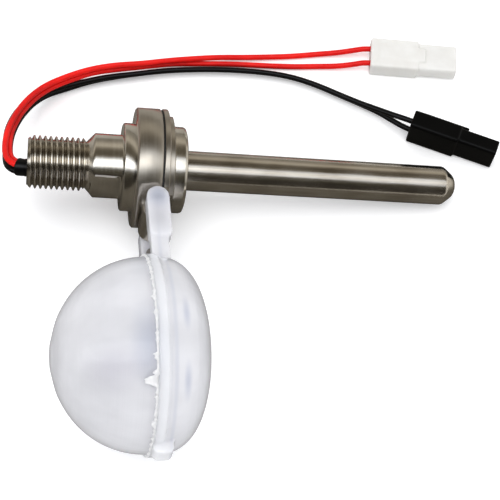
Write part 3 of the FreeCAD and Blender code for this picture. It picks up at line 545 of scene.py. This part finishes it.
FLOAT_AXIS = -52.4                  # millimetres from the switch's axis to the float's
RIM_LEFT = 0.2                      # where the welding rim meets the dome
DOME_R, DOME_DEPTH = 22.5, 21.6
PRESSED = 0.1                       # what is left of the height of a part that is pressed down
FLASH_LOBES = [                     # degrees round the float from the arms, reach in mm, width in radians
    (131.0, 1.2, 0.045), (131.6, 1.3, 0.026), (129.6, 0.8, 0.02), (133.4, 0.7, 0.016), (126.6, 0.5, 0.02),
    (118.0, 0.4, 0.03), (84.0, 0.3, 0.03), (158.0, 0.5, 0.03), (248.0, 0.9, 0.03), (310.0, 0.4, 0.04)]
FLASH_THICK = (0.2, 0.26)           # half thickness in mm where thinnest, and what the thickest adds to it
FLASH_WIDE = (0.8, 1.6)             # half width over half thickness, likewise
FLASH_MIDDLE = (0.1, 0.28)          # the section's middle: mm left of the rim, and mm out from the dome


def applied(piece):
    """The mesh of a piece with its modifiers applied."""
    seen = piece.evaluated_get(bpy.context.evaluated_depsgraph_get())
    return bpy.data.meshes.new_from_object(seen)


def moulded_skin(nodes, name, material, body, cube, passes, press=None):
    """CAD nodes as one moulding: cut into cubes of a size in metres and eased, so that its edges are round.

    What stands above a pressed height, in millimetres, first goes down to a share of its own height.
    """
    work = bmesh.new()
    for node in nodes:
        work.from_mesh(NODES[node].data)
    bmesh.ops.remove_doubles(work, verts=work.verts, dist=1e-6)
    if press:
        for vert in work.verts:
            vert.co.z = min(vert.co.z, press * MM + (vert.co.z - press * MM) * PRESSED)
    rough = bpy.data.objects.new(name + "_rough", bpy.data.meshes.new(name + "_rough"))
    work.to_mesh(rough.data)
    bpy.context.scene.collection.objects.link(rough)
    cubes = rough.modifiers.new("cubes", "REMESH")
    cubes.mode, cubes.voxel_size = "VOXEL", cube
    ease = rough.modifiers.new("ease", "SMOOTH")
    ease.factor, ease.iterations = 0.5, passes
    skin = applied(rough)
    skin.name = name
    bpy.data.objects.remove(rough)
    work.clear()
    work.from_mesh(skin)
    keep_largest_island(work)
    work.to_mesh(skin)
    work.free()
    skin.polygons.foreach_set("use_smooth", np.ones(len(skin.polygons), bool))
    skin.materials.clear()
    skin.materials.append(material)
    piece = bpy.data.objects.new(name, skin)
    bpy.context.scene.collection.objects.link(piece)
    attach(piece, body)
    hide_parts(*nodes)
    return piece


def keep_largest_island(work):
    """Delete every connected part of a mesh, such as a hollow's wall, but the one with the most points."""
    waiting = set(work.verts)
    islands = []
    while waiting:
        island = [waiting.pop()]
        for vert in island:
            for edge in vert.link_edges:
                other = edge.other_vert(vert)
                if other in waiting:
                    waiting.remove(other)
                    island.append(other)
        islands.append(island)
    islands.sort(key=len)
    spare = [vert for island in islands[:-1] for vert in island]
    bmesh.ops.delete(work, geom=spare, context="VERTS")


def ragged(angle, seed, lowest, highest):
    """A closed random curve of the angle: sines with falling heights, scaled to run from 0 to 1."""
    dice = np.random.default_rng(seed)
    waves = np.arange(lowest, highest)
    heights = dice.uniform(0.3, 1.0, len(waves)) / np.sqrt(waves)
    shifts = dice.uniform(0, 2 * np.pi, len(waves))
    curve = (heights * np.sin(angle[..., None] * waves + shifts)).sum(axis=-1)
    return (curve - curve.min()) / (curve.max() - curve.min())


def make_flash():
    """Bead along the rim's dome side: a ring whose section's size and place wander, with lobes onto the dome.

    Half thickness and half width wander with the angle. A lobe widens it by reach * exp(-(turn / width) ** 4)
    on the dome's side, turn being the angle from its place. The section's middle stays just outside the dome.
    """
    rows, columns = 1400, 12
    angle = np.linspace(0, 2 * np.pi, rows, endpoint=False)[:, None]
    section = np.linspace(0, 2 * np.pi, columns, endpoint=False)[None, :]
    thick = FLASH_THICK[0] + FLASH_THICK[1] * ragged(angle, 5, 9, 150)
    lobes = sum(reach * np.exp(-((angle - math.radians(place)) / width) ** 4)
                for place, reach, width in FLASH_LOBES)
    wide = thick * (FLASH_WIDE[0] + FLASH_WIDE[1] * ragged(angle, 8, 30, 190) ** 2) + lobes / 2
    a = RIM_LEFT - FLASH_MIDDLE[0] - lobes / 2 + wide * np.cos(section)
    on_dome = DOME_R * np.sqrt(1 - (np.minimum(a - RIM_LEFT, 0) / DOME_DEPTH) ** 2)
    radius = on_dome + FLASH_MIDDLE[1] + thick * np.sin(section)
    points = np.stack([a, FLOAT_AXIS + radius * np.cos(angle), radius * np.sin(angle)], axis=-1)
    faces = grid_faces(rows, columns, closed_rows=True, closed_columns=True)
    bead = make_piece("weld_flash", placed(points, FLOAT_REST), faces, FLASH_PLASTIC,
                      "float")
    point_outwards(bead.data)


moulded_skin(("float_dome", "float_cap"), "float_skin", FLOAT_PLASTIC, "float",
             cube=0.00034, passes=6)
make_flash()

# ---------------------------------------------------------------- connector housings

HOUSINGS = {
    "white": moulded_skin(("white_connector",), "white_housing", WHITE_NYLON, "sensor",
                          cube=0.00015, passes=36, press=5.2),
    "black": moulded_skin(("black_connector",), "black_housing", BLACK_NYLON, "sensor",
                          cube=0.00015, passes=36),
}

# ---------------------------------------------------------------- leads

LEADS = {                           # slot, material, length in mm, connector, and the route's points in mm
    "red_lead_outer": ("red_pvc", RED_PVC, 132.1, "white", [
        (-54.41, 29.11, 20.74), (-55.69, 29.11, 20.91), (-57.01, 29.69, 20.80), (-58.12, 30.50, 20.57),
        (-58.96, 31.67, 20.17), (-59.47, 33.17, 19.58), (-59.75, 34.91, 18.89), (-59.88, 36.97, 18.12),
        (-59.85, 39.32, 17.26), (-59.58, 41.99, 16.17), (-58.99, 45.03, 14.77), (-58.09, 48.51, 13.06),
        (-56.74, 52.35, 11.15), (-54.63, 56.38, 9.08), (-51.40, 60.37, 7.14), (-46.37, 63.49, 6.12),
        (-40.46, 66.18, 5.41), (-33.69, 67.93, 4.67), (-26.72, 68.71, 4.08), (-19.83, 70.06, 3.43),
        (-12.90, 71.13, 2.70), (-5.96, 72.05, 1.93), (1.02, 72.55, 1.08), (8.05, 72.87, 0.78),
        (15.09, 73.14, 0.78), (21.18, 73.75, 0.80), (26.48, 74.00, 1.10), (31.11, 74.25, 1.90),
        (35.09, 74.56, 2.60), (38.98, 74.00, 2.60)]),
    "red_lead_inner": ("red_pvc", RED_PVC, 129.2, "white", [
        (-54.55, 30.51, 19.74), (-55.83, 30.51, 19.91), (-57.01, 31.26, 19.41), (-57.86, 32.18, 18.80),
        (-58.40, 33.38, 18.10), (-58.74, 34.87, 17.36), (-58.98, 36.60, 16.60), (-59.14, 38.63, 15.76),
        (-59.16, 40.91, 14.76), (-58.88, 43.53, 13.53), (-58.23, 46.52, 12.06), (-57.31, 49.90, 10.39),
        (-55.78, 53.55, 8.53), (-53.61, 57.44, 6.55), (-50.03, 61.06, 4.96), (-44.94, 63.87, 4.20),
        (-39.17, 66.45, 3.46), (-32.48, 67.75, 2.81), (-25.76, 68.95, 2.22), (-19.06, 70.20, 1.56),
        (-12.24, 70.68, 0.93), (-5.38, 70.69, 0.78), (1.48, 70.41, 0.79), (8.33, 70.00, 0.78),
        (15.19, 69.74, 0.78), (21.16, 69.85, 0.80), (26.32, 69.70, 1.10), (30.81, 69.75, 1.90),
        (34.64, 70.09, 2.60), (38.54, 69.52, 2.60)]),
    "black_lead_outer": ("black_pvc", BLACK_PVC, 146.7, "black", [
        (-54.61, 28.10, 19.35), (-55.88, 28.10, 19.52), (-57.20, 28.66, 19.28), (-58.29, 29.43, 18.89),
        (-59.08, 30.54, 18.28), (-59.57, 31.95, 17.47), (-59.86, 33.58, 16.55), (-60.08, 35.54, 15.57),
        (-60.29, 37.84, 14.63), (-60.49, 40.57, 13.65), (-60.38, 43.76, 12.50), (-59.70, 47.41, 11.02),
        (-58.53, 51.33, 9.13), (-56.54, 55.26, 6.70), (-53.44, 59.13, 4.30), (-48.45, 62.12, 2.85),
        (-42.19, 64.06, 2.49), (-35.31, 65.68, 2.43), (-28.28, 66.48, 2.42), (-21.27, 67.50, 2.42),
        (-14.21, 67.87, 2.42), (-7.13, 67.93, 2.42), (-0.06, 67.60, 2.42), (6.98, 66.91, 2.42),
        (13.93, 65.57, 2.42), (20.51, 63.00, 2.50), (26.74, 59.64, 2.80), (32.03, 56.60, 3.52),
        (36.47, 53.94, 4.79), (40.25, 51.47, 6.18), (44.04, 49.57, 6.85), (47.65, 48.01, 6.85)]),
    "black_lead_inner": ("black_pvc", BLACK_PVC, 145.1, "black", [
        (-54.74, 29.49, 18.35), (-56.02, 29.49, 18.53), (-57.12, 30.23, 17.82), (-57.84, 31.09, 16.99),
        (-58.33, 32.17, 16.08), (-58.69, 33.53, 15.12), (-59.00, 35.14, 14.18), (-59.31, 37.12, 13.27),
        (-59.48, 39.48, 12.46), (-59.35, 42.24, 11.60), (-58.81, 45.39, 10.43), (-57.95, 48.87, 8.79),
        (-56.85, 52.50, 6.45), (-55.29, 56.42, 3.84), (-52.08, 60.29, 1.84), (-46.79, 62.81, 0.90),
        (-40.74, 65.13, 0.80), (-33.92, 66.62, 0.78), (-27.02, 67.72, 0.78), (-20.08, 68.55, 0.78),
        (-13.10, 68.88, 0.78), (-6.11, 68.93, 0.78), (0.86, 68.55, 0.78), (7.81, 67.83, 0.78),
        (14.64, 66.39, 0.78), (21.12, 63.78, 0.78), (27.33, 60.58, 0.78), (32.76, 57.85, 0.81),
        (37.28, 55.20, 1.11), (40.72, 52.15, 1.86), (44.04, 49.57, 2.35), (47.65, 48.01, 2.35)]),
}
WIRE_D = 1.5 * MM


def make_lead(name, material, route):
    """A lead as a bevelled second-degree NURBS line with its route's points as control points."""
    data = bpy.data.curves.new(name, "CURVE")
    data.dimensions = "3D"
    spline = data.splines.new("NURBS")
    spline.points.add(len(route) - 1)
    for point, place in zip(spline.points, route):
        point.co = [value * MM for value in place] + [1.0]
    spline.order_u = 3
    spline.use_endpoint_u = True
    spline.use_smooth = True
    data.resolution_u = 12
    data.bevel_depth = WIRE_D / 2
    data.bevel_resolution = 6
    data.use_fill_caps = True
    data.materials.append(material)
    piece = bpy.data.objects.new(name + "_wire", data)
    bpy.context.scene.collection.objects.link(piece)
    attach(piece, "sensor")
    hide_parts(name)


BOOT_SIDES = 40
BOOT_RINGS = [                      # share of the way along the leads' middle line, and radius in mm
    (-0.25, 2.1), (0.0, 2.1), (0.15, 2.14), (0.3, 2.17), (0.45, 2.2), (0.6, 2.22), (0.66, 2.18), (0.7, 2.0),
    (0.7, 1.4), (0.66, 0.5)]


def make_boot():
    """Shrunk sleeve round the four leads where they come out: rings carried along their middle line.

    That line is the quadratic curve of the four routes' first three points, averaged.
    """
    routes = np.array([route[:3] for *_, route in LEADS.values()])
    start, middle, end = routes.mean(axis=0)
    t, radius = np.array(BOOT_RINGS).T[:, :, None]
    line = (1 - t) ** 2 * start + 2 * t * (1 - t) * middle + t ** 2 * end
    along = 2 * (1 - t) * (middle - start) + 2 * t * (end - middle)
    along /= np.linalg.norm(along, axis=1)[:, None]
    side = np.cross(along, [0, 0, 1.0])
    side /= np.linalg.norm(side, axis=1)[:, None]
    over = np.cross(side, along)
    angle = np.linspace(0, 2 * np.pi, BOOT_SIDES, endpoint=False)[None, :, None]
    points = line[:, None] + radius[:, None] * (np.cos(angle) * side[:, None] + np.sin(angle) * over[:, None])
    faces = [tuple(face) for face in grid_faces(len(t), BOOT_SIDES, closed_columns=True)]
    last = (len(t) - 1) * BOOT_SIDES
    faces += [tuple(range(BOOT_SIDES))[::-1], tuple(range(last, last + BOOT_SIDES))]
    boot = make_piece("exit_boot", points.reshape(-1, 3) * MM, faces, BLACK_PVC, "sensor")
    point_outwards(boot.data)
    smooth_by_angle(boot.data, 50)
    return boot


BOOT = make_boot()
for name, (slot, material, length, plug, route) in LEADS.items():
    make_lead(name, material, route)

# ---------------------------------------------------------------- pipe thread

THREAD = {                          # millimetres, on the switch's axis
    "start": -26.1, "end": -11.9, "root": 5.72, "depth": 0.86, "pitch": 1.337, "lead_in": 1.1, "runout": 0.7}
CREST, FLANK = 1.18, 2.6            # width of the crest's flat and slope of the flank, per pitch
CUT_SLACK = (0.02, 0.1)             # millimetres past the plain cylinder's end, and inside the thread's root


def merged_copy(node, name):
    """A copy of a CAD node's mesh with its loose triangles joined."""
    mesh = NODES[node].data.copy()
    mesh.name = name
    work = bmesh.new()
    work.from_mesh(mesh)
    bmesh.ops.remove_doubles(work, verts=work.verts, dist=1e-6)
    work.to_mesh(mesh)
    work.free()
    return mesh


def thread_surface():
    """Right-hand 55-degree thread: radius = root + depth * wave, a rounded triangle of angle and station.

    The wave is cut down by a 45-degree lead-in at the free end and by a short runout at the cone.
    """
    rows, columns = 340, 96
    a = np.linspace(THREAD["start"], THREAD["end"], rows)[:, None]
    angle = np.linspace(0, 2 * np.pi, columns, endpoint=False)[None, :]
    turn = (a / THREAD["pitch"] - angle / (2 * np.pi)) % 1.0
    wave = np.clip(CREST - FLANK * np.abs(turn - 0.5), 0.0, 1.0)
    wave = wave * wave * (3 - 2 * wave)
    lead = np.clip((a - THREAD["start"]) / THREAD["lead_in"], 0, 1)
    out = np.clip((THREAD["end"] - a) / THREAD["runout"], 0, 1)
    radius = THREAD["root"] + THREAD["depth"] * np.minimum(wave, np.minimum(lead, out))
    points = np.stack([a + 0 * angle, radius * np.cos(angle), radius * np.sin(angle)], axis=-1)
    return points, grid_faces(rows, columns, closed_columns=True)


def make_body_with_thread():
    """The turned body with the plain cylinder at its end taken off and the thread put in its place."""
    mesh = merged_copy("threaded_body", "body_with_thread")
    inverse = REST.inverted()
    work = bmesh.new()
    work.from_mesh(mesh)
    limit = (THREAD["end"] + CUT_SLACK[0]) * MM
    edge = (THREAD["root"] - CUT_SLACK[1]) * MM
    gone = []
    for face in work.faces:
        own = [inverse @ vert.co for vert in face.verts]
        if all(p.x < limit and math.hypot(p.y, p.z) > edge for p in own):
            gone.append(face)
    bmesh.ops.delete(work, geom=gone, context="FACES")
    work.to_mesh(mesh)
    work.free()
    smooth_by_angle(mesh, 30)
    mesh.materials.clear()
    mesh.materials.append(STEEL)
    body = bpy.data.objects.new("body_with_thread", mesh)
    bpy.context.scene.collection.objects.link(body)
    points, faces = thread_surface()
    thread = mesh_object("thread", placed(points, REST), faces, THREAD_STEEL)
    bpy.ops.object.select_all(action="DESELECT")
    thread.select_set(True)
    body.select_set(True)
    bpy.context.view_layer.objects.active = body
    bpy.ops.object.join()
    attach(body, "sensor")
    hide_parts("threaded_body")


make_body_with_thread()
